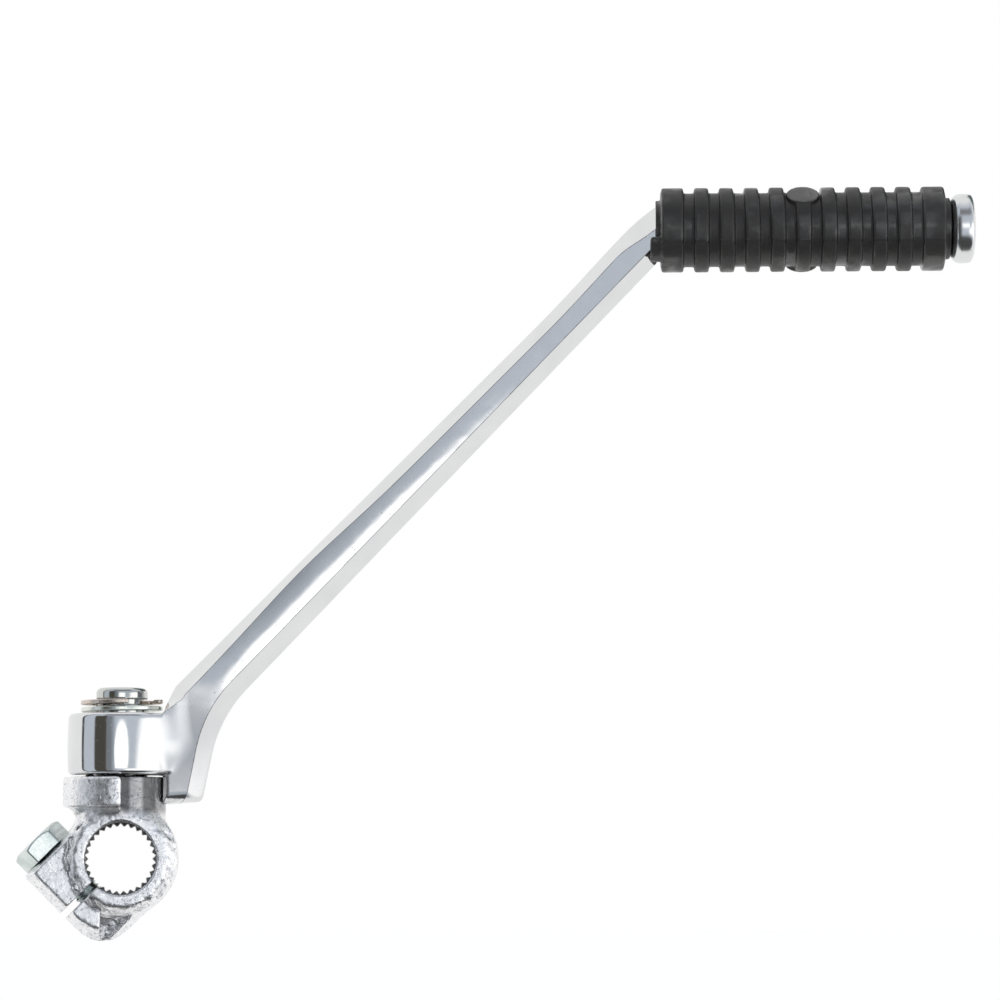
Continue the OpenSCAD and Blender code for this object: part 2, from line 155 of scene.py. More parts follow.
# Arm, in its own frame, which is swung out of the row frame by REST_SWING
REST_SWING = 8.2
BARREL_BOTTOM = 23.05
BARREL_TOP = 40.15
BARREL_MIDDLE = (BARREL_BOTTOM + BARREL_TOP) / 2
BARREL_HALF = (BARREL_TOP - BARREL_BOTTOM) / 2
BARREL_END_R = 14.7
BARREL_MID_R = 14.95
BARREL_BORE_R = 7.2
ARM_HALF = 6.6
LUG_HALF = 5.6
LUG_INNER_R = 12.75
LUG_W = 10.1
LUG_LEAN = 11.4
LUG_BOTTOM = 15.45
SHANK_TOP_Z = 33.1
SHANK_ROOT_W = 15.3
SHANK_TIP_W = 11.7
ELBOW_X = 14.8
ELBOW_R = 36.0
BARREL_CORNER = [(12.9, 44.2), (11.5, 40.7), (11.4, 39.6)]
INSIDE_X = -8.0
BARREL_CUT = 15.5
SHOULDER_X = 149.4
RUN_ON = 10.0
RUN_ON_END = 12.0

# The swell of the arm's upper side before the shoulder, and its bend down to the shoulder
END_RISE = 1.7
END_RISE_FROM = 34.0
END_RISE_LEN = 28.0
END_BEND = 0.018
END_BEND_FROM = 9.0

# Width of the arm's bevels seen from the front, with the upper one's waist as shares of the arm's length
ROOT_BEVEL = 4.2
TIP_BEVEL = 3.3
UPPER_BEVEL = 4.1
WAIST = 1.2
WAIST_AT = 0.28
WAIST_LEN = 0.12
ELBOW_GAIN = 0.5
SHOULDER_GAIN = 2.2
SHOULDER_GAIN_LEN = 12.0
CORNER_BEVEL = 0.9
CORNER_SPREAD = 0.95

# The arm's thickness, the crown of its faces and the hollow web beside the barrel
THICKEN_LEN = 22.0
SWELL = 0.8
SWELL_TO = 62.0
SWELL_FADE = 26.0
CROWN_LOW = 0.42
CROWN_HIGH = 0.02
CROWN_SHARE = 0.8
CROWN_FROM = 66.0
CROWN_LEN = 24.0
PARTING_R = 0.35
FILLET_LOW = 3.0
FILLET_HIGH = 16.0
FILLET_GROWTH = 11.0
WEB_UNDER = 1.5
WEB_OVER = 9.0

# The lug's lower end and its chamfered inner corner
LUG_END_RISE = 0.08
LUG_END_CURVE = 1.9
LUG_CHAMFER = 5.54

# Peg and upset end
PEG_Z = 175.3
PEG_R = 6.5
CAP_R = 9.7
CAP_LEN = 7.2
CAP_EDGE_R = 2.9
CAP_DOME = 0.012

# Foot grip, along the arm's own X
GRIP_X = 150.4
GRIP_LEN = 78.9
RIB_R = 11.78
GRIP_GROOVE_R = 10.3
RIB_COUNT = 11
END_RIB_W = 6.3
RIB_W = 4.2
GRIP_NECK_R = 8.6
GRIP_NECK_LEN = 1.7
GRIP_LIP_LEN = 1.5
GRIP_LIP_R = 8.3
PAD_R = 4.6
PAD_FACE = 11.2
PAD_ANGLE = 52.0
RIB_LEAN = 0.012
RIB_WANDER = 0.18
RIB_DRAFT = 0.10
MOULD_SEAM_DROP = 5.0
MOULD_SEAM_HALF = 0.05
TONGUE_LEN = 3.0
TONGUE_R = 9.5
TONGUE_FROM = 18.0
TONGUE_TO = 66.0

SLIT_DIRECTION = math.radians(225)


# Distance fields

def smooth_min(a, b, k):
    """Union of two solids with a fillet of about the width k."""
    h = np.maximum(k - np.abs(a - b), 0) / k
    return np.minimum(a, b) - h * h * k / 4


def smooth_max(a, b, k):
    """Intersection of two solids with its edge rounded over about the width k."""
    return -smooth_min(-a, -b, k)


def soft_abs(a, k):
    """The size of a number, rounded over near zero."""
    return np.sqrt(a * a + k * k)


def step_up(t):
    """Rises smoothly from 0 to 1 as t does, and stays there outside."""
    t = np.clip(t, 0, 1)
    return t * t * (3 - 2 * t)


def outline_distance(px, pz, points):
    """Distance to a closed outline, negative inside it."""
    nearest = np.full(np.broadcast(px, pz).shape, 1e9)
    sign = np.ones_like(nearest)
    for (ax, az), (bx, bz) in zip(points, points[1:] + points[:1]):
        ex, ez = bx - ax, bz - az
        wx, wz = px - ax, pz - az
        t = np.clip((wx * ex + wz * ez) / (ex * ex + ez * ez), 0, 1)
        nearest = np.minimum(nearest, (wx - ex * t) ** 2 + (wz - ez * t) ** 2)
        above, below, left = pz >= az, pz < bz, ex * wz > ez * wx
        flip = (above & below & left) | (~above & ~below & ~left)
        sign = np.where(flip, -sign, sign)
    return sign * np.sqrt(nearest)


def turned(r, z, radius, low, high, edge):
    """A round bar of that radius from low to high, with rounded edges."""
    dr = r - radius + edge
    dz = np.abs(z - (low + high) / 2) - (high - low) / 2 + edge
    outside = np.sqrt(np.maximum(dr, 0) ** 2 + np.maximum(dz, 0) ** 2)
    return outside + np.minimum(np.maximum(dr, dz), 0) - edge


# Meshing: grid steps a block, steps of pulling onto the surface, and how far the edge draws points in
BLOCK = 4
PULLS = 4
EDGE_REACH = 0.7


def sample(field, low, high, step):
    """A grid of the field's values: exact in the blocks that the surface runs through, rough elsewhere."""
    counts = [int(math.ceil((b - a + 4 * step) / (BLOCK * step))) for a, b in zip(low, high)]
    start = np.array(low) - 2 * step
    middles = [o + (np.arange(n) + 0.5) * BLOCK * step for o, n in zip(start, counts)]
    rough = field(middles[0][:, None, None], middles[1][None, :, None], middles[2][None, None, :])
    rough = np.broadcast_to(rough, counts)
    values = rough.repeat(BLOCK, 0).repeat(BLOCK, 1).repeat(BLOCK, 2).astype(np.float32)
    reach = BLOCK * step * 0.87 * 1.35
    near = np.argwhere(np.abs(rough) < reach)
    cell = np.stack(np.meshgrid(*[np.arange(BLOCK)] * 3, indexing="ij"), -1).reshape(-1, 3)
    for part in np.array_split(near, max(1, len(near) // 4000)):
        at = (part[:, None, :] * BLOCK + cell[None]).reshape(-1, 3)
        points = start + at * step
        values[tuple(at.T)] = field(*points.T)
    return start, values


def slope(field, p, e=0.02):
    """The field's gradient at each of the points."""
    g = np.empty_like(p)
    for i in range(3):
        d = np.zeros(3)
        d[i] = e
        g[:, i] = (field(*(p + d).T) - field(*(p - d).T)) / (2 * e)
    return g


def pulled_onto(field, points, most):
    """Moves each point onto the field's zero surface, by no more than that distance."""
    g = slope(field, points)
    move = g * (field(*points.T) / np.maximum((g * g).sum(1), 0.2))[:, None]
    return points - np.clip(move, -most, most)


CORNERS = [(i, j, k) for i in (0, 1) for j in (0, 1) for k in (0, 1)]


def surface_cells(values):
    """The cells that the surface runs through, and in each the mean of the points where it cuts an edge."""
    inside = values < 0
    n = [s - 1 for s in values.shape]
    count = np.zeros(n, np.int8)
    for i, j, k in CORNERS:
        count += inside[i:i + n[0], j:j + n[1], k:k + n[2]]
    cells = np.argwhere((count > 0) & (count < len(CORNERS)))
    total = np.zeros((len(cells), 3))
    hits = np.zeros(len(cells))
    for a in CORNERS:
        for axis in range(3):
            if a[axis]:
                continue
            b = tuple(1 if i == axis else a[i] for i in range(3))
            va = values[tuple((cells + a).T)]
            vb = values[tuple((cells + b).T)]
            cross = (va < 0) != (vb < 0)
            t = np.where(cross, va / np.where(cross, va - vb, 1), 0)
            point = cells + a + t[:, None] * np.subtract(b, a)
            total += np.where(cross[:, None], point, 0)
            hits += cross
    return cells, total / hits[:, None]


def surface_quads(values, cells):
    """A four-sided face across each grid edge that the surface cuts, with a corner in each cell round it."""
    inside = values < 0
    ids = np.full([s - 1 for s in values.shape], -1, np.int64)
    ids[tuple(cells.T)] = np.arange(len(cells))
    quads = []
    for axis in range(3):
        u, v = (axis + 1) % 3, (axis + 2) % 3
        ahead = [slice(1, -1)] * 3
        ahead[axis] = slice(0, -1)
        behind = list(ahead)
        behind[axis] = slice(1, None)
        first, second = inside[tuple(ahead)], inside[tuple(behind)]
        edges = np.argwhere(first != second)
        outward = first[tuple(edges.T)]
        edges = edges + np.array([0 if i == axis else 1 for i in range(3)])
        ring = []
        for du, dv in ((-1, -1), (0, -1), (0, 0), (-1, 0)):
            shift = np.zeros(3, int)
            shift[u], shift[v] = du, dv
            ring.append(ids[tuple((edges + shift).T)])
        ring = np.stack(ring, 1)
        quads.append(np.where(outward[:, None], ring, ring[:, ::-1]))
    return np.concatenate(quads)


def laid_on_edge(field, edge, points, step):
    """Moves the points close to the zero surface of the field edge onto it, and says which they are."""
    on_edge = np.zeros(len(points), bool)
    near = np.flatnonzero(np.abs(edge(*points.T)) < step)
    close = points[near]
    for _ in range(PULLS):
        close = pulled_onto(field, pulled_onto(edge, close, step / 2), step / 2)
    kept = np.linalg.norm(close - points[near], axis=1) < EDGE_REACH * step
    points[near[kept]] = close[kept]
    on_edge[near[kept]] = True
    return on_edge


def cut_along_edge(quads, on_edge):
    """Cuts each face that has two opposite corners on the edge into two triangles along it."""
    lies = on_edge[quads]
    first = lies[:, 0] & lies[:, 2]
    second = lies[:, 1] & lies[:, 3] & ~first
    halves = [quads[first][:, [0, 1, 2]], quads[first][:, [0, 2, 3]]]
    halves += [quads[second][:, [1, 2, 3]], quads[second][:, [1, 3, 0]]]
    return quads[~first & ~second].tolist() + np.concatenate(halves).tolist()


def corner_normals(field, mesh, points, on_edge):
    """The surface's normal at each face's corners, and at those on the edge the normal inside the face."""
    ring = np.empty(len(mesh.loops), np.int32)
    starts = np.empty(len(mesh.polygons), np.int32)
    mesh.loops.foreach_get("vertex_index", ring)
    mesh.polygons.foreach_get("loop_start", starts)
    sides = np.diff(np.append(starts, len(ring)))
    weight = np.where(on_edge[ring], 1e-6, 1.0)[:, None]
    inner = np.add.reduceat(points[ring] * weight, starts) / np.add.reduceat(weight, starts)
    normals = slope(field, points)[ring]
    split = np.flatnonzero(on_edge[ring])
    normals[split] = slope(field, inner[np.repeat(np.arange(len(sides)), sides)[split]])
    return normals / np.maximum(np.linalg.norm(normals, axis=1), 1e-9)[:, None]


def solid(name, field, low, high, step, place=np.eye(3), at=(0, 0, 0), edge=None):
    """Meshes the zero surface of a field, in millimetres, then turns it by place and moves it to at.

    Each point lies exactly on the surface. Points close to the zero surface of the field edge lie on that
    too, so that the edge runs straight, and the attribute edge_line is one there.
    """
    start, values = sample(field, low, high, step)
    cells, points = surface_cells(values)
    points = start + points * step
    for _ in range(PULLS):
        points = pulled_onto(field, points, step / 2)
    on_edge = laid_on_edge(field, edge, points, step) if edge else np.zeros(len(points), bool)

    mesh = bpy.data.meshes.new(name)
    mesh.from_pydata((points * MM).tolist(), [], cut_along_edge(surface_quads(values, cells), on_edge))
    mesh.validate()
    mesh.shade_smooth()
    normals = corner_normals(field, mesh, points, on_edge) @ place.T
    mesh.transform(Matrix.Translation(np.array(at) * MM) @ Matrix(place.tolist()).to_4x4())
    mesh.normals_split_custom_set(normals.tolist())
    if edge:
        line = mesh.attributes.new("edge_line", "FLOAT", "POINT")
        line.data.foreach_set("value", on_edge.astype(np.float32))
    piece = bpy.data.objects.new(name, mesh)
    bpy.context.collection.objects.link(piece)
    return piece


def turn_about_z(degrees):
    a = math.radians(degrees)
    return np.array([[math.cos(a), -math.sin(a), 0], [math.sin(a), math.cos(a), 0], [0, 0, 1]])


def turn_about_y(degrees):
    a = math.radians(degrees)
    return np.array([[math.cos(a), 0, math.sin(a)], [0, 1, 0], [-math.sin(a), 0, math.cos(a)]])


def slit_turn():
    """Lays the bolt's frame across the slit: its X along the slit, away from the bore."""
    c, s = math.cos(SLIT_DIRECTION), math.sin(SLIT_DIRECTION)
    return np.array([[c, 0, s], [0, -1, 0], [s, 0, -c]])


ARM_PLACE = turn_about_z(-REST_SWING)
BOLT_PLACE = slit_turn()


def waves(x, y, z, size, seed):
    """Smooth unevenness between about -1 and 1, made of a few crossing waves."""
    rng = np.random.default_rng(seed)
    total = 0
    for _ in range(7):
        d = rng.normal(size=3)
        d *= 2 * math.pi / size / np.linalg.norm(d) * rng.uniform(0.7, 1.4)
        total = total + np.sin(x * d[0] + y * d[1] + z * d[2] + rng.uniform(0, 6.28))
    return total / 3.5


# Arm

def top_line(x):
    return SHANK_TOP_Z + x


def shank_end(x):
    """A point of the upper side, which swells a little before the shoulder and bends down to it."""
    rise = END_RISE * step_up((x - SHOULDER_X + END_RISE_FROM) / END_RISE_LEN)
    bend = END_BEND * max(x - SHOULDER_X + END_BEND_FROM, 0) ** 2
    return x, top_line(x) + rise - bend


def lower_side():
    """The forging's lower side: up the lug, round the elbow and along the shank, past its shoulder."""
    lean = math.radians(LUG_LEAN)
    outer_x = LUG_INNER_R + LUG_W
    root_x = outer_x + (BARREL_TOP - LUG_BOTTOM) * math.tan(lean)
    root_z = top_line(root_x) - SHANK_ROOT_W * math.sqrt(2)
    low_z = top_line(SHOULDER_X) - SHANK_TIP_W * math.sqrt(2)
    rise = math.atan2(low_z - root_z, SHOULDER_X - root_x)
    turn = math.pi / 2 - lean - rise
    foot_x = outer_x - LUG_BOTTOM * math.tan(lean)
    corner_z = (root_z - (root_x - foot_x) * math.tan(rise)) / (1 - math.tan(lean) * math.tan(rise))
    corner_x = outer_x + (corner_z - LUG_BOTTOM) * math.tan(lean)
    tangent = ELBOW_R * math.tan(turn / 2)
    cx = corner_x + tangent * math.cos(rise) + ELBOW_R * math.sin(rise)
    cz = corner_z + tangent * math.sin(rise) - ELBOW_R * math.cos(rise)
    points = [(outer_x - RUN_ON * math.tan(lean), LUG_BOTTOM - RUN_ON)]
    for i in range(41):
        a = math.pi - lean - turn * i / 40
        points.append((cx + ELBOW_R * math.cos(a), cz + ELBOW_R * math.sin(a)))
    return points + [(SHOULDER_X + RUN_ON_END, low_z + RUN_ON_END * math.tan(rise))]


LOWER_SIDE = lower_side()
SHANK_END = [shank_end(SHOULDER_X + 8 - 2 * i) for i in range(22)]
UPPER_SIDE = SHANK_END + [(ELBOW_X, top_line(ELBOW_X))] + BARREL_CORNER
INSIDE = [(INSIDE_X, BARREL_CORNER[-1][1]), (INSIDE_X, LUG_BOTTOM - RUN_ON)]
ARM_OUTLINE = LOWER_SIDE + UPPER_SIDE + INSIDE
LOWER_HALF = LOWER_SIDE + [(SHOULDER_X + RUN_ON_END, 400), (-200, 400), (-200, LUG_BOTTOM - RUN_ON)]


def plan(x, y, radius, half, fillet):
    """The barrel and the hollow web that carries its round into the arm's flat faces, seen from above."""
    fillet_y = half + fillet
    fillet_x = np.sqrt((radius + fillet) ** 2 - fillet_y ** 2)
    web = fillet - np.sqrt((x - fillet_x) ** 2 + (np.abs(y) - fillet_y) ** 2)
    web = np.where(x > fillet_x, np.abs(y) - half, web)
    return np.where(np.abs(y) * fillet_x > x * fillet_y, np.sqrt(x * x + y * y) - radius, web)


def half_width(x, z):
    """Half the arm's thickness, which swells from the lug to the elbow."""
    low = step_up((z - BARREL_BOTTOM + 1.5) / THICKEN_LEN)
    swell = SWELL * np.exp(-(np.maximum(x + z - SWELL_TO, 0) / SWELL_FADE) ** 2)
    return LUG_HALF + (ARM_HALF - LUG_HALF + swell) * low


def bevel_width(x, z, along, across):
    """The bevels' width. The upper one starts narrow at the barrel, and is widest at the shoulder."""
    lower = ROOT_BEVEL + (TIP_BEVEL - ROOT_BEVEL) * along
    waist = WAIST * np.exp(-((along - WAIST_AT) / WAIST_LEN) ** 2)
    waist = waist - ELBOW_GAIN * np.exp(-(along / WAIST_LEN) ** 2)
    upper = UPPER_BEVEL - waist
    upper = upper + SHOULDER_GAIN * step_up((x - SHOULDER_X + SHOULDER_GAIN_LEN) / SHOULDER_GAIN_LEN)
    from_barrel = CORNER_BEVEL + CORNER_SPREAD * np.maximum(z - BARREL_TOP, 0)
    upper = np.where(z > BARREL_BOTTOM + 2, np.minimum(upper, from_barrel), upper)
    return lower + (upper - lower) * step_up(across * 2 + 0.6)


def arm_sides(x, y, z):
    """Faces and bevels of the shank and lug, whose parting line lies at y = 0, and the barrel's web."""
    t = np.clip((z - BARREL_MIDDLE) / BARREL_HALF, -1.2, 1.2)
    radius = BARREL_MID_R - (BARREL_MID_R - BARREL_END_R) * t * t
    half = half_width(x, z)
    side = outline_distance(x, z, ARM_OUTLINE)
    over_low = np.minimum(outline_distance(x, z, LOWER_HALF), -0.01)
    under_top = np.minimum((z - top_line(x)) / math.sqrt(2), -0.01)
    across = (over_low - under_top) / (over_low + under_top)
    along = np.clip((x - LUG_INNER_R) / (SHOULDER_X - LUG_INNER_R), 0, 1)
    bevel = bevel_width(x, z, along, across)
    slant = (side + bevel * soft_abs(y, PARTING_R) / half) * half / np.hypot(half, bevel)

    flat = np.abs(y) - half
    fillet = FILLET_LOW + (FILLET_HIGH - FILLET_LOW) * step_up((z - BARREL_BOTTOM + 1) / FILLET_GROWTH)
    web = plan(x, y, radius, half, fillet)
    near = step_up((z - BARREL_BOTTOM + 0.3) / WEB_UNDER)
    near = near * step_up((BARREL_TOP - 1 + WEB_OVER - z) / WEB_OVER)
    crown = CROWN_LOW + (CROWN_HIGH - CROWN_LOW) * np.minimum(along / CROWN_SHARE, 1) ** 2
    crown = crown * across * across * step_up((x + z - CROWN_FROM) / CROWN_LEN)
    faces = flat + (web - flat) * near + crown
    return faces, slant, web


def arm_edge(x, y, z):
    """Zero where the faces of the shank and lug meet their bevels."""
    faces, slant, _ = arm_sides(x, y, z)
    return np.where((x > 16) & (x < SHOULDER_X - 0.8), faces - slant, 9.0)


def cap(x, y, z):
    """The upset end of the peg."""
    r = np.sqrt(y * y + (z - PEG_Z) ** 2)
    start = GRIP_X + GRIP_LEN + GRIP_NECK_LEN + 0.1
    head = turned(r, x, CAP_R, start, start + CAP_LEN, CAP_EDGE_R)
    flat = x - start - CAP_LEN + CAP_DOME * r * r
    return smooth_max(head, flat, 0.8)


def arm(x, y, z):
    r = np.sqrt(x * x + y * y)
    faces, slant, web = arm_sides(x, y, z)
    body = smooth_max(faces, slant, 0.15)
    body = smooth_max(body, x - SHOULDER_X, 0.6)
    rim = np.abs(y) / half_width(x, z)
    end = LUG_BOTTOM - 0.5 + (x - LUG_INNER_R) * LUG_END_RISE + LUG_END_CURVE * rim ** 3
    body = smooth_max(body, (end - z) * 0.8, 1.2)
    barrel = smooth_max(web, np.abs(z - BARREL_MIDDLE) - BARREL_HALF, 1.6)
    barrel = np.maximum(barrel, x - BARREL_CUT)
    joined = np.minimum(barrel, body)
    above = np.maximum(r - WASHER_R - 0.35, BARREL_TOP - z)
    chamfer = np.minimum((np.abs(y) - x) * math.sqrt(0.5) + LUG_CHAMFER, BARREL_BOTTOM - 0.3 - z)
    below = smooth_max(r - LUG_INNER_R, z - BARREL_BOTTOM, 0.8)
    whole = smooth_max(smooth_max(joined, -above, 0.6), -below, 0.5)
    whole = smooth_max(whole, chamfer, 0.4)
    bore = np.maximum(r - BARREL_BORE_R, z - BARREL_TOP - 3)
    whole = smooth_max(whole, -bore, 0.4)
    a = math.radians(BALL_AT)
    off = np.sqrt((x - BALL_OFFSET * math.cos(a)) ** 2 + (y - BALL_OFFSET * math.sin(a)) ** 2)
    whole = np.maximum(whole, -np.maximum(off - BALL_HOLE_R, z - BALL_HOLE_TOP))
    pr = np.sqrt(y * y + (z - PEG_Z) ** 2)
    peg = np.maximum(pr - PEG_R, np.maximum(SHOULDER_X - 0.4 - x, x - GRIP_X - GRIP_LEN - 3))
    whole = np.minimum(whole, peg)
    return np.minimum(whole, cap(x, y, z))


# Boss

def along_slit(x, z):
    """Coordinates along the slit, away from the bore, and across it, towards the bolt's head."""
    c, s = math.cos(SLIT_DIRECTION), math.sin(SLIT_DIRECTION)
    return x * c + z * s, x * s - z * c


def wedge(x, y, start, end):
    """Negative between two directions round the post."""
    middle = math.radians((start + end) / 2)
    half = math.radians((end - start) / 2)
    angle = np.abs((np.arctan2(y, x) - middle + math.pi) % (2 * math.pi) - math.pi)
    return (angle - half) * np.maximum(np.sqrt(x * x + y * y), 4)


def clamp_ring(r, depth, uneven):
    """The ring round the bore, with a bank from its faces down to its side."""
    fall = (BORE_HALF - RING_SIDE_HALF) / (RING_R - RING_FACE_R)
    ring = smooth_max(r - RING_R + RING_DRAFT * depth, depth - BORE_HALF, 1.0)
    bank = (depth - RING_SIDE_HALF + fall * (r - RING_R + 0.25 * uneven)) / np.hypot(1, fall)
    return smooth_max(ring, bank, 0.9)


def clamp_ears(x, z, r, depth, uneven):
    """The ears that the bolt draws together: flat under its head, round below, with a step by the ring."""
    u, v = along_slit(x, z)
    over = np.clip((depth - EAR_FLAT_HALF) / (EAR_HALF - EAR_FLAT_HALF), 0, 1.3)
    reach = EAR_REACH - EAR_BEVEL * over
    seat = SEAT_OFFSET - SEAT_BEVEL * over
    plain = PLAIN_OFFSET - EAR_BEVEL * over
    upper = smooth_max(u - reach, v - seat, 1.2)
    lower = smooth_max(u - reach, -v - plain, EAR_R)
    ears = np.maximum(np.maximum(upper, lower), -u)
    ears = smooth_max(ears, depth - EAR_HALF, 0.7)
    step = smooth_max(-STEP_X - x, STEP_R + 0.5 * uneven - r, 0.5)
    step = np.maximum(step, z + STEP_Z)
    step = smooth_max(step, np.maximum(u - EAR_REACH, -v - PLAIN_OFFSET) + STEP_RIM, 2.0)
    floor = STEP_FLOOR - STEP_FALL * (r - STEP_FALL_FROM) + 0.35 * uneven
    return smooth_max(ears, -np.maximum(step, floor - depth), 0.5)


def collar_parts(x, y, z, from_post):
    """The neck, the collar's block, whose ends stop the arm's swing, and the cone under the block."""
    stops = wedge(x, y, REAR_STOP, 360 + FRONT_STOP)
    low = COLLAR_TOP - COLLAR_H + REAR_LIFT * step_up((x - 8) / 4)
    neck = np.maximum(from_post - NECK_R, np.maximum(-z, z - COLLAR_TOP))
    block = smooth_max(turned(from_post, z, COLLAR_R, low, COLLAR_TOP, 1.1), stops, 1.4)
    cone = (from_post - COLLAR_R + 1.5 + (low - z) * CONE_SLOPE) * 0.7
    cone = smooth_max(cone, z - low - 1.0, 0.3)
    cone = smooth_max(np.maximum(cone, CONE_LOW - z), stops, 2.0)
    return neck, block, cone


def post_part(z, from_post):
    """The pivot post with its clip groove."""
    post = turned(from_post, z, POST_R, 10, POST_TOP, 1.5)
    groove = np.maximum(np.abs(z - GROOVE_Z - GROOVE_H / 2) - GROOVE_H / 2, GROOVE_R - from_post)
    return smooth_max(post, -groove, 0.3)


def serrated_bore(x, z, r, depth):
    """The hole for the kick shaft with its serrations, and its chamfered mouths."""
    angle = np.arctan2(z, x) * SERRATION_COUNT / (2 * math.pi)
    tooth = np.abs(angle - np.floor(angle) - 0.5) * 2
    teeth = np.clip((SERRATION_TIP - tooth) / SERRATION_FLANK, 0, 1)
    bore = (r - BORE_R - SERRATION_DEPTH * teeth) * 0.8
    mouth = (r - BORE_R - MOUTH_CHAMFER - depth + BORE_HALF) * math.sqrt(0.5)
    return bore, mouth


def boss(x, y, z):
    r = np.sqrt(x * x + z * z)
    from_post = np.sqrt(x * x + y * y)
    depth = np.abs(y)
    uneven = waves(x, y, z, 3.4, 5)
    body = smooth_min(clamp_ring(r, depth, uneven), clamp_ears(x, z, r, depth, uneven), 0.9)

    neck, block, cone = collar_parts(x, y, z, from_post)
    body = smooth_min(body, neck, 1.2)
    body = smooth_min(body, cone, 1.2)
    body = smooth_min(body, block, 0.3)
    body = smooth_max(body, z - COLLAR_TOP, 0.4)
    for turn in (0, SWING_RANGE):
        a = math.radians(BALL_AT - REST_SWING - turn)
        flat_off = (x - BALL_OFFSET * math.cos(a)) ** 2 + (y - BALL_OFFSET * math.sin(a)) ** 2
        body = np.maximum(body, BALL_HOLE_R + 0.02 - np.sqrt(flat_off + (z - DIMPLE_Z) ** 2))

    torn = np.sqrt((r - TORN_R - 0.5 * waves(x, 0 * y, z, 4.5, 9)) ** 2 + (depth - TORN_DEPTH) ** 2)
    torn = torn - TORN_W * step_up((-5.5 - x - np.abs(z + 1) * 0.45) / 4) - 0.15 * uneven
    body = smooth_max(body, -torn, 0.35)
    rough = SKIN * uneven + FINE_SKIN * waves(x, y, z, 1.7, 6)
    body = body + rough * step_up((SKIN_TOP - z) / 1.5) * step_up((r - 9.4) / 1.2)
    body = smooth_min(body, post_part(z, from_post), 0.6)

    bore, mouth = serrated_bore(x, z, r, depth)
    body = smooth_max(body, -bore, 0.12)
    body = smooth_max(body, -mouth, 0.2)
    u, v = along_slit(x, z)
    slit = np.maximum(np.abs(v) - SLIT_W / 2, BORE_R - 2 - u)
    body = smooth_max(body, -slit, 0.5)
    from_bolt = np.sqrt((u - BOLT_OFFSET) ** 2 + y * y)
    hole = np.maximum(from_bolt - BOLT_R - HOLE_CLEAR, -v)
    tapped = np.maximum(from_bolt - BOLT_R - THREAD_CLEAR, v)
    return smooth_max(body, -np.minimum(hole, tapped), 0.4)


# Bolt, in its own frame: Z along its axis towards the head, with the seat at 0

def bolt(x, y, z):
    r = np.sqrt(x * x + y * y)
    t = math.radians(BOLT_TURN)
    hexagon = -1e9
    for i in range(3):
        a = t + math.radians(30) + i * math.pi / 3
        flat = np.abs(x * math.cos(a) + y * math.sin(a)) - BOLT_FLATS / 2
        hexagon = smooth_max(hexagon, flat, 0.35) if i else flat
    head = smooth_max(hexagon, z - BOLT_HEAD_H, 0.4)
    head = smooth_max(head, (r - BOLT_FLATS / 2 + 0.3 - 1.5 * (BOLT_HEAD_H - z)) * 0.55, 0.3)
    head = smooth_max(head, 0.05 - z, 0.3)
    turn = z / BOLT_PITCH + np.arctan2(y, x) / (2 * math.pi)
    ridge = np.abs(turn - np.floor(turn) - 0.5) * 2
    thread = np.clip((-THREAD_START - z) / 1.5, 0, 1) * THREAD_DEPTH
    shank = (r - BOLT_R + thread * (1 - np.clip(ridge * 1.15, 0, 1))) * 0.75
    shank = smooth_max(shank, -BOLT_LEN - z + np.maximum(r - BOLT_R + 0.9, 0), 0.4)
    shank = np.maximum(shank, z - 1)
    return smooth_min(head, shank, 0.3)


# Washer and clip, in their own frames: Z along the post

def washer(x, y, z):
    r = np.sqrt(x * x + y * y)
    disc = turned(r, z, WASHER_R, -WASHER_T / 2, WASHER_T / 2, 0.22)
    return smooth_max(disc, POST_R + 0.2 - r, 0.25)


def clip(x, y, z):
    r = np.sqrt(x * x + y * y)
    bow = smooth_max(r - CLIP_R, CLIP_R - CLIP_BOW_W - r, 0.2)
    shape = bow
    for at in (90, 180, 270):
        a = math.radians(CLIP_OPEN_AT + at)
        ahead = x * math.cos(a) + y * math.sin(a)
        aside = np.abs(-x * math.sin(a) + y * math.cos(a)) - CLIP_FOOT_W / 2
        foot = np.maximum(np.maximum(aside, ahead - CLIP_R + 0.8), -ahead)
        shape = smooth_min(shape, foot, 1.0)
    shape = smooth_max(shape, GROOVE_R + 0.05 - r, 0.3)
    gap = wedge(x, y, CLIP_OPEN_AT - CLIP_OPEN / 2, CLIP_OPEN_AT + CLIP_OPEN / 2)
    shape = smooth_max(shape, -gap, 1.2)
    return smooth_max(shape, np.abs(z) - CLIP_T / 2, 0.3)


# Foot grip, in the arm's frame

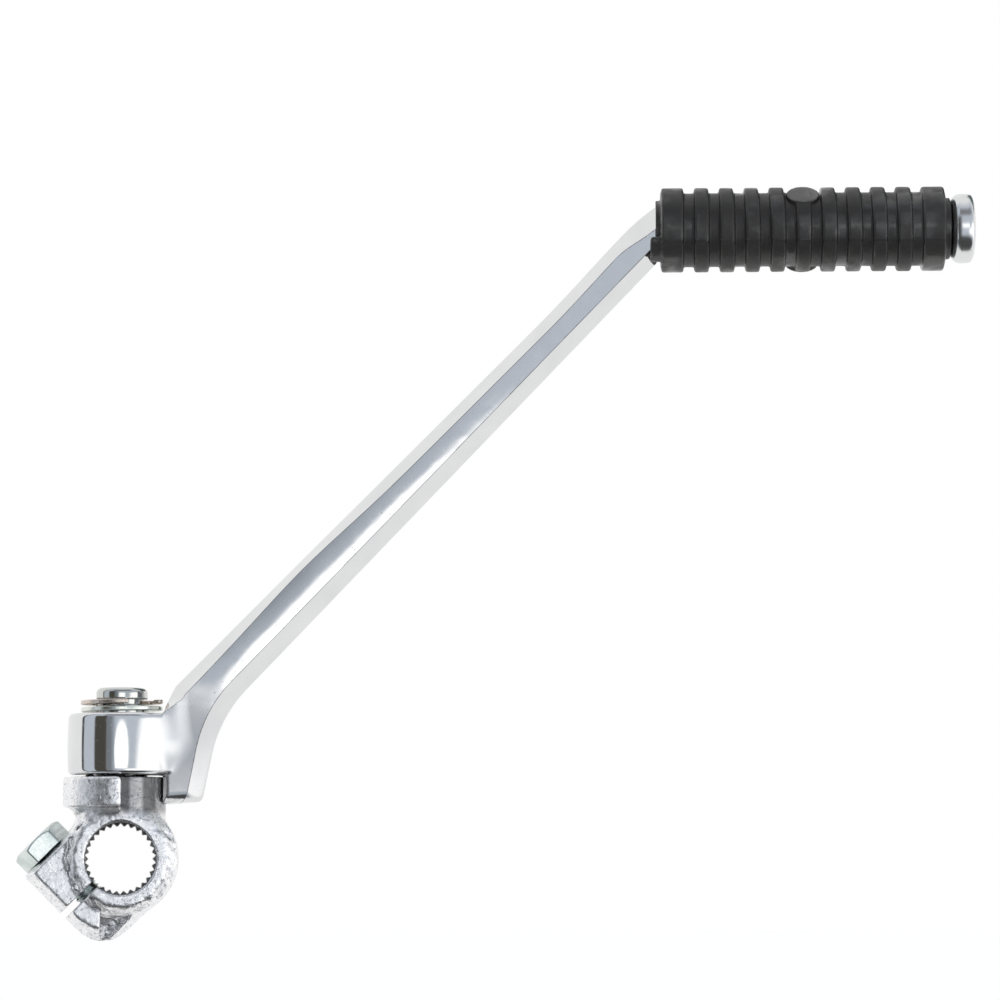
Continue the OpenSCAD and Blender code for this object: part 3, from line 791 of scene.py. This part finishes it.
def grip(x, y, z):
    r = np.sqrt(y * y + (z - PEG_Z) ** 2)
    s = x - GRIP_X
    gap = (GRIP_LEN - 2 * END_RIB_W - (RIB_COUNT - 2) * RIB_W) / (RIB_COUNT - 1)
    pitch = RIB_W + gap
    lean = RIB_LEAN * (z - PEG_Z) + RIB_WANDER * waves(s, 0 * y, z, 26, 4)
    t = s - GRIP_LEN / 2 + lean
    inner = (RIB_COUNT - 3) / 2
    nearest = np.clip(np.round(t / pitch), -inner, inner)
    away = np.abs(t - nearest * pitch) - RIB_W / 2
    away = np.minimum(away, GRIP_LEN / 2 - END_RIB_W - np.abs(t))
    away = np.maximum(away, np.abs(s - GRIP_LEN / 2) - GRIP_LEN / 2)
    side = away + RIB_DRAFT * (r - GRIP_GROOVE_R)
    rib = smooth_max(r - RIB_R + 0.03 * waves(x, y, z, 18, 3), side, 0.7)
    core = r - GRIP_GROOVE_R + 0.03 * waves(x, y, z, 11, 8)
    core = np.maximum(core, np.maximum(-s, s - GRIP_LEN))
    body = smooth_min(rib, core, 0.5)
    for turn in (PAD_ANGLE, PAD_ANGLE + 180):
        a = math.radians(turn)
        up = -y * math.cos(a) + (z - PEG_Z) * math.sin(a)
        side = y * math.sin(a) + (z - PEG_Z) * math.cos(a)
        disc = np.sqrt((s - GRIP_LEN / 2) ** 2 + side * side) - PAD_R
        pad = smooth_max(disc, np.maximum(up - PAD_FACE, 5 - up), 0.5)
        clear = np.maximum(disc - 0.25, PAD_FACE - up)
        body = smooth_max(body, -clear, 0.3)
        body = smooth_min(body, pad, 0.3)
    neck = turned(r, s, GRIP_NECK_R, GRIP_LEN - 4, GRIP_LEN + GRIP_NECK_LEN, 0.5)
    lip = turned(r, s, GRIP_LIP_R, -GRIP_LIP_LEN, 3, 0.25)
    body = smooth_min(body, np.minimum(neck, lip), 0.4)
    seam_and_painted_edge_shade = np.abs(z - PEG_Z + MOULD_SEAM_DROP) - MOULD_SEAM_HALF + 4 * (r - RIB_R - 0.06)
    seam_and_painted_edge_shade = np.maximum(seam_and_painted_edge_shade, np.maximum(-away - 5, away + 0.3))
    body = np.minimum(body, np.maximum(seam_and_painted_edge_shade * 0.25, np.maximum(y, RIB_R - 1 - r)))
    angle = np.degrees(np.arctan2(PEG_Z - z, -y))
    span = np.abs(angle - (TONGUE_FROM + TONGUE_TO) / 2) - (TONGUE_TO - TONGUE_FROM) / 2
    span = span * math.radians(1) * np.maximum(r, 4)
    tongue = smooth_max(smooth_max(r - RIB_R + 0.45, TONGUE_R - r, 0.5), span, 2.0)
    tongue = smooth_max(tongue, np.maximum(-TONGUE_LEN - s, s - 2), 0.8)
    body = smooth_min(body, tongue, 0.6)
    return smooth_max(body, PEG_R + 0.1 - r, 0.3)


# Materials, with the web's brushed spot and the start of the cap in the row frame
BRUSHED_AT = (19, -10, 31)
BRUSHED_R = 14.5
CAP_FROM = 226.0


def new_material(name):
    m = bpy.data.materials.new(name)
    m.use_nodes = True
    nodes = m.node_tree.nodes
    return m, m.node_tree, nodes, m.node_tree.links, nodes["Principled BSDF"]


def object_coords(tree):
    return tree.nodes.new("ShaderNodeTexCoord").outputs["Object"]


def noise(tree, scale, detail=4.0, rough=0.55, coords=None):
    n = tree.nodes.new("ShaderNodeTexNoise")
    n.inputs["Scale"].default_value = scale
    n.inputs["Detail"].default_value = detail
    n.inputs["Roughness"].default_value = rough
    tree.links.new(coords or object_coords(tree), n.inputs["Vector"])
    return n.outputs["Fac"]


def ramp(tree, fac, stops):
    r = tree.nodes.new("ShaderNodeValToRGB")
    while len(r.color_ramp.elements) < len(stops):
        r.color_ramp.elements.new(0.5)
    for e, (at, value) in zip(r.color_ramp.elements, stops):
        e.position = at
        e.color = (*value, 1) if isinstance(value, tuple) else (value, value, value, 1)
    tree.links.new(fac, r.inputs["Fac"])
    return r.outputs["Color"]


def bump(tree, height, strength, distance, below=None):
    b = tree.nodes.new("ShaderNodeBump")
    b.inputs["Strength"].default_value = strength
    b.inputs["Distance"].default_value = distance
    tree.links.new(height, b.inputs["Height"])
    if below is not None:
        tree.links.new(below, b.inputs["Normal"])
    return b.outputs["Normal"]


def math_node(tree, kind, a, b=0.0):
    n = tree.nodes.new("ShaderNodeMath")
    n.operation = kind
    for socket, value in zip(n.inputs, (a, b)):
        if isinstance(value, (int, float)):
            socket.default_value = value
        else:
            tree.links.new(value, socket)
    return n.outputs[0]


def distance_node(tree, a, b):
    """The distance from zero of a point with two coordinates."""
    square = math_node(tree, "ADD", math_node(tree, "MULTIPLY", a, a), math_node(tree, "MULTIPLY", b, b))
    return math_node(tree, "SQRT", square)


def lay_over(tree, below, mask, colour):
    """Lays a colour over what is below it, as far as the mask is one."""
    mix = tree.nodes.new("ShaderNodeMix")
    mix.data_type = "RGBA"
    tree.links.new(mask, mix.inputs["Factor"])
    tree.links.new(below, mix.inputs[6])
    mix.inputs[7].default_value = (*colour, 1)
    return mix.outputs[2]


def polished_chrome():
    m, tree, nodes, links, shader = new_material("polished_chrome")
    shader.inputs["Metallic"].default_value = 1
    tint = ramp(tree, noise(tree, 90), [(0.3, (0.70, 0.705, 0.71)), (0.7, (0.75, 0.752, 0.755))])
    # Painted shade: a dark line is laid along the crease where the arm's faces meet their bevels. It stands
    # for the shade and dark reflection on that edge.
    line = nodes.new("ShaderNodeAttribute")
    line.attribute_name = "edge_line"
    seam_and_painted_edge_shade = window(tree, line.outputs["Fac"], 0.78, 2.0, 0.12)
    tint = lay_over(tree, tint, math_node(tree, "MULTIPLY", seam_and_painted_edge_shade, 0.85), (0.16, 0.16, 0.17))
    links.new(tint, shader.inputs["Base Color"])
    far = nodes.new("ShaderNodeVectorMath")
    far.operation = "DISTANCE"
    links.new(object_coords(tree), far.inputs[0])
    far.inputs[1].default_value = [v * MM for v in BRUSHED_AT]
    brushed = window(tree, far.outputs["Value"], -1.0, BRUSHED_R * MM, 6 * MM)
    split = nodes.new("ShaderNodeSeparateXYZ")
    links.new(object_coords(tree), split.inputs[0])
    upset = window(tree, split.outputs["X"], CAP_FROM * MM, 1.0, 1 * MM)
    brushed = math_node(tree, "ADD", brushed, math_node(tree, "MULTIPLY", upset, 0.6))
    rough = ramp(tree, noise(tree, 260, 6), [(0.35, 0.05), (0.75, 0.11)])
    rough = math_node(tree, "ADD", rough, math_node(tree, "MULTIPLY", brushed, 0.24))
    links.new(rough, shader.inputs["Roughness"])
    pits = ramp(tree, noise(tree, 1500, 2), [(0.70, 0.0), (0.80, 1.0)])
    soft = bump(tree, noise(tree, 70, 2), 0.08, 0.0006)
    links.new(bump(tree, pits, 0.25, 0.0002, soft), shader.inputs["Normal"])
    return m


def rough_chrome():
    """Chrome over a coarse forging: smooth on the post, painted shade in the bore and streaked round the
    neck.
    """
    m, tree, nodes, links, shader = new_material("rough_chrome")
    shader.inputs["Metallic"].default_value = 1
    split = nodes.new("ShaderNodeSeparateXYZ")
    links.new(object_coords(tree), split.inputs[0])
    x, y, z = split.outputs
    # Painted shade: the bore is given a dark colour that stands for the shade deep inside it.
    painted_bore_shade = math_node(tree, "LESS_THAN", distance_node(tree, x, z), (BORE_R + 0.95) * MM)
    on_forging = math_node(tree, "LESS_THAN", z, (COLLAR_TOP + 0.2) * MM)
    grain = noise(tree, 1100, 5, 0.6)
    speckle = ramp(tree, grain, [(0.34, (0.48, 0.48, 0.49)), (0.44, (0.92, 0.92, 0.93))])
    plated = lay_over(tree, speckle, math_node(tree, "SUBTRACT", 1.0, on_forging), (0.60, 0.61, 0.59))
    # Painted shade: the neck below the arm is darkened, most in two streaks round it. This stands for the
    # shade and dark reflections under the arm.
    painted_neck_shade = math_node(tree, "LESS_THAN", distance_node(tree, x, y), (NECK_R + 0.7) * MM)
    painted_neck_shade = math_node(tree, "MULTIPLY", painted_neck_shade, window(tree, z, 0.0125, 0.03, 0.0015))
    painted_neck_shade = math_node(tree, "MULTIPLY", painted_neck_shade, on_forging)
    turn = math_node(tree, "DEGREES", math_node(tree, "ARCTAN2", y, x))
    left, right = window(tree, turn, -95, -79, 2.5), window(tree, turn, -62, -40, 3.5)
    painted_shade_streaks = math_node(tree, "MULTIPLY", math_node(tree, "MAXIMUM", left, right), 0.32)
    painted_shade_streaks = math_node(tree, "ADD", painted_shade_streaks, 0.62)
    plated = lay_over(tree, plated, math_node(tree, "MULTIPLY", painted_neck_shade, painted_shade_streaks), (0.085, 0.085, 0.087))
    links.new(lay_over(tree, plated, painted_bore_shade, (0.26, 0.255, 0.25)), shader.inputs["Base Color"])
    coarse = ramp(tree, noise(tree, 500, 4), [(0.3, 0.07), (0.7, 0.29)])
    coarse = math_node(tree, "MULTIPLY", coarse, on_forging)
    links.new(math_node(tree, "ADD", coarse, 0.12), shader.inputs["Roughness"])
    height = math_node(tree, "MULTIPLY", noise(tree, 1000, 4, 0.6), on_forging)
    links.new(bump(tree, height, 0.5, 0.0004), shader.inputs["Normal"])
    return m


def zinc(name, dark, light, rough):
    m, tree, nodes, links, shader = new_material(name)
    shader.inputs["Metallic"].default_value = 1
    links.new(ramp(tree, noise(tree, 180, 5), [(0.3, dark), (0.7, light)]), shader.inputs["Base Color"])
    coarse = ramp(tree, noise(tree, 900, 4), [(0.3, rough), (0.8, rough + 0.14)])
    links.new(coarse, shader.inputs["Roughness"])
    links.new(bump(tree, noise(tree, 1200, 4), 0.12, 0.0002), shader.inputs["Normal"])
    return m


def black_rubber():
    """Satin black rubber, paler on the faces of the two round pads."""
    m, tree, nodes, links, shader = new_material("black_rubber")
    base = ramp(tree, noise(tree, 60, 5), [(0.3, (0.031, 0.029, 0.027)), (0.7, (0.042, 0.039, 0.036))])
    for turn in (PAD_ANGLE, PAD_ANGLE + 180):
        a = math.radians(turn)
        face = np.array([GRIP_X + GRIP_LEN / 2, -math.cos(a) * PAD_FACE, PEG_Z + math.sin(a) * PAD_FACE])
        far = nodes.new("ShaderNodeVectorMath")
        far.operation = "DISTANCE"
        links.new(object_coords(tree), far.inputs[0])
        far.inputs[1].default_value = ARM_PLACE @ face * MM
        on_face = math_node(tree, "LESS_THAN", far.outputs["Value"], (PAD_R - 0.1) * MM)
        base = lay_over(tree, base, on_face, (0.105, 0.099, 0.094))
    links.new(base, shader.inputs["Base Color"])
    links.new(ramp(tree, noise(tree, 400, 5), [(0.3, 0.38), (0.75, 0.50)]), shader.inputs["Roughness"])
    shader.inputs["Specular IOR Level"].default_value = 0.45
    links.new(ramp(tree, noise(tree, 110, 3), [(0.50, 0.0), (0.64, 0.8)]), shader.inputs["Coat Weight"])
    shader.inputs["Coat Roughness"].default_value = 0.16
    fine = bump(tree, noise(tree, 2200, 3), 0.12, 0.0002)
    links.new(bump(tree, noise(tree, 160, 3), 0.2, 0.0006, fine), shader.inputs["Normal"])
    return m


def dress(piece, material, body, node):
    piece.data.materials.clear()
    piece.data.materials.append(material)
    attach(piece, body)
    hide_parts(node)


# Camera, floor and light

def aim(direction):
    return Vector(direction).to_track_quat("-Z", "Y").to_euler()


def make_camera():
    data = bpy.data.cameras.new("camera")
    data.lens = CAMERA_LENS
    data.sensor_width = 36
    data.clip_start = 0.05
    data.clip_end = 50
    cam = bpy.data.objects.new("camera", data)
    yaw, pitch = math.radians(CAMERA_YAW), math.radians(CAMERA_PITCH)
    cam.location = (0, -CAMERA_DISTANCE * MM, 0)
    cam.rotation_euler = aim((math.sin(yaw) * math.cos(pitch), math.cos(yaw) * math.cos(pitch),
                              math.sin(pitch)))
    bpy.context.collection.objects.link(cam)
    bpy.context.scene.camera = cam


def window(tree, value, low, high, soft):
    """One between low and high, falling to nothing over the width soft on either side."""
    up = tree.nodes.new("ShaderNodeMapRange")
    down = tree.nodes.new("ShaderNodeMapRange")
    for n, a, b in ((up, low - soft, low + soft), (down, high + soft, high - soft)):
        n.interpolation_type = "SMOOTHSTEP"
        n.inputs["From Min"].default_value = a
        n.inputs["From Max"].default_value = b
        tree.links.new(value, n.inputs["Value"])
    return math_node(tree, "MULTIPLY", up.outputs[0], down.outputs[0])


def card(tree, below, azimuth, elevation, across, up, colour, soft, soft_up):
    """Lays a soft card of a colour over what shines from that part of the room."""
    sideways, upward = window(tree, azimuth, *across, soft), window(tree, elevation, *up, soft_up)
    return lay_over(tree, below, math_node(tree, "MULTIPLY", sideways, upward), colour)


def lamp(tree, below, azimuth, elevation, at, size, colour, soft):
    """Lays an oval soft lamp over what shines from that part of the room."""
    u = math_node(tree, "DIVIDE", math_node(tree, "SUBTRACT", azimuth, at[0]), size[0])
    v = math_node(tree, "DIVIDE", math_node(tree, "SUBTRACT", elevation, at[1]), size[1])
    return lay_over(tree, below, window(tree, distance_node(tree, u, v), -2.0, 1.0, soft), colour)


# Cards, each laid over those before it: azimuth and elevation in degrees, colour, and the two soft margins.
# In turn: the grey side of the room, a dark strip at its left end, a dim band and a brown one beside it that
# show in the barrel, the dark below, a dim band above, and a greenish one behind the object on the right.
CARDS = [
    ((-92, 86), (-75, 75), (0.60, 0.65, 0.72), 3, 15),
    ((-94, -88), (-60, 60), (0.06, 0.06, 0.06), 1.5, 6),
    ((-45, -17), (-55, 30), (0.23, 0.25, 0.28), 8, 6),
    ((-60, -33), (-55, 30), (0.085, 0.08, 0.066), 2, 6),
    ((-80, 80), (-100, -34), (0.07, 0.07, 0.07), 3, 3),
    ((-45, 50), (36, 58), (0.22, 0.22, 0.24), 3, 4),
    ((106, 158), (20, 60), (0.10, 0.14, 0.14), 3, 3),
]

# Lamps in front of the object: azimuth and elevation in degrees, half size, and the soft share of it
LAMPS = [
    ((0, 0), (15, 7), 0.10),
    ((27, -17), (20, 9), 0.35),
    ((63, -5), (30, 16), 0.25),
]
LAMP_COLOUR = (1.7, 1.7, 1.7)


def make_room():
    """A white studio: white behind the object, and grey with soft cards and lamps on the camera's side."""
    world = bpy.data.worlds.new("studio")
    bpy.context.scene.world = world
    world.use_nodes = True
    tree = world.node_tree
    nodes, links = tree.nodes, tree.links
    background = nodes["Background"]
    coords = nodes.new("ShaderNodeTexCoord").outputs["Generated"]
    split = nodes.new("ShaderNodeSeparateXYZ")
    links.new(coords, split.inputs[0])
    front = math_node(tree, "MULTIPLY", split.outputs["Y"], -1.0)
    azimuth = math_node(tree, "DEGREES", math_node(tree, "ARCTAN2", split.outputs["X"], front))
    elevation = math_node(tree, "DEGREES", math_node(tree, "ARCSINE", split.outputs["Z"]))
    base = nodes.new("ShaderNodeRGB")
    base.outputs[0].default_value = (1, 1, 1, 1)
    shine = base.outputs[0]
    for across, up, colour, soft, soft_up in CARDS:
        shine = card(tree, shine, azimuth, elevation, across, up, colour, soft, soft_up)
    for at, size, soft in LAMPS:
        shine = lamp(tree, shine, azimuth, elevation, at, size, LAMP_COLOUR, soft)
    path = nodes.new("ShaderNodeLightPath")
    seen = nodes.new("ShaderNodeMix")
    seen.data_type = "RGBA"
    links.new(path.outputs["Is Camera Ray"], seen.inputs["Factor"])
    links.new(shine, seen.inputs[6])
    seen.inputs[7].default_value = (1, 1, 1, 1)
    links.new(seen.outputs[2], background.inputs["Color"])
    background.inputs["Strength"].default_value = 1.0


def make_floor():
    """A pale floor that keeps the object's shadow, and that shiny faces look through to the room."""
    mesh = bpy.data.meshes.new("floor")
    z = cad_low.z - FLOOR_DROP
    corners = [(x * FLOOR_HALF, y * FLOOR_HALF, z) for x, y in ((-1, -1), (1, -1), (1, 1), (-1, 1))]
    mesh.from_pydata(corners, [], [(0, 1, 2, 3)])
    floor = bpy.data.objects.new("floor", mesh)
    bpy.context.collection.objects.link(floor)
    m = bpy.data.materials.new("floor")
    m.use_nodes = True
    tree = m.node_tree
    tree.nodes.clear()
    out = tree.nodes.new("ShaderNodeOutputMaterial")
    path = tree.nodes.new("ShaderNodeLightPath")
    pale = tree.nodes.new("ShaderNodeBsdfDiffuse")
    pale.inputs["Color"].default_value = (0.8, 0.8, 0.8, 1)
    glow = tree.nodes.new("ShaderNodeEmission")
    glow.inputs["Color"].default_value = (1, 1, 1, 1)
    seen = math_node(tree, "MULTIPLY", path.outputs["Is Camera Ray"], FLOOR_GLOW)
    tree.links.new(seen, glow.inputs["Strength"])
    both = tree.nodes.new("ShaderNodeAddShader")
    tree.links.new(pale.outputs[0], both.inputs[0])
    tree.links.new(glow.outputs[0], both.inputs[1])
    clear = tree.nodes.new("ShaderNodeBsdfTransparent")
    mix = tree.nodes.new("ShaderNodeMixShader")
    tree.links.new(path.outputs["Is Glossy Ray"], mix.inputs[0])
    tree.links.new(both.outputs[0], mix.inputs[1])
    tree.links.new(clear.outputs[0], mix.inputs[2])
    tree.links.new(mix.outputs[0], out.inputs[0])
    mesh.materials.append(m)


make_camera()
make_room()
make_floor()

chrome = polished_chrome()
cast = rough_chrome()
bolt_zinc = zinc("bolt_zinc", (0.54, 0.60, 0.59), (0.73, 0.78, 0.76), 0.14)
washer_zinc = zinc("washer_zinc", (0.68, 0.71, 0.65), (0.84, 0.86, 0.80), 0.2)
clip_steel = zinc("clip_steel", (0.58, 0.50, 0.44), (0.76, 0.68, 0.61), 0.25)
plain_steel = zinc("plain_steel", (0.5, 0.5, 0.5), (0.62, 0.62, 0.62), 0.2)
rubber = black_rubber()

coarse = 1.0

# Pieces: the box in which each is meshed, in millimetres in its own frame, and the grid's step
arm_piece = solid("arm_forging", arm, (-16, -16, 13), (240, 16, 187), 0.5 * coarse, ARM_PLACE, edge=arm_edge)
dress(arm_piece, chrome, "lever", "arm")

boss_piece = solid("boss_forging", boss, (-26, -16, -24), (17, 16, 48), 0.36 * coarse)
dress(boss_piece, cast, "clamp", "boss")

grip_piece = solid("rubber_grip", grip, (147, -12.5, 162.5), (232, 12.5, 188), 0.40 * coarse, ARM_PLACE)
dress(grip_piece, rubber, "lever", "foot_grip")

bolt_at = BOLT_PLACE @ (BOLT_OFFSET, 0, SEAT_OFFSET)
bolt_piece = solid("hex_bolt", bolt, (-8.5, -8.5, -26), (8.5, 8.5, 6), 0.25 * coarse, BOLT_PLACE, bolt_at)
dress(bolt_piece, bolt_zinc, "clamp", "pinch_bolt")

tilt = turn_about_y(-WASHER_TILT)
washer_at = (0, 0, WASHER_Z)
washer_piece = solid("plain_washer", washer, (-12, -12, -1), (12, 12, 1), 0.22 * coarse, tilt, washer_at)
dress(washer_piece, washer_zinc, "clamp", "pivot_washer")

tilt = turn_about_y(-CLIP_TILT)
clip_at = (0, 0, GROOVE_Z + GROOVE_H / 2)
clip_piece = solid("e_clip", clip, (-12, -12, -1), (12, 12, 1), 0.22 * coarse, tilt, clip_at)
dress(clip_piece, clip_steel, "clamp", "retaining_clip")

for hidden in ("detent_ball", "detent_spring"):
    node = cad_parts[hidden]
    node.data.materials.clear()
    node.data.materials.append(plain_steel)

scene = bpy.context.scene
scene.view_settings.view_transform = "Standard"
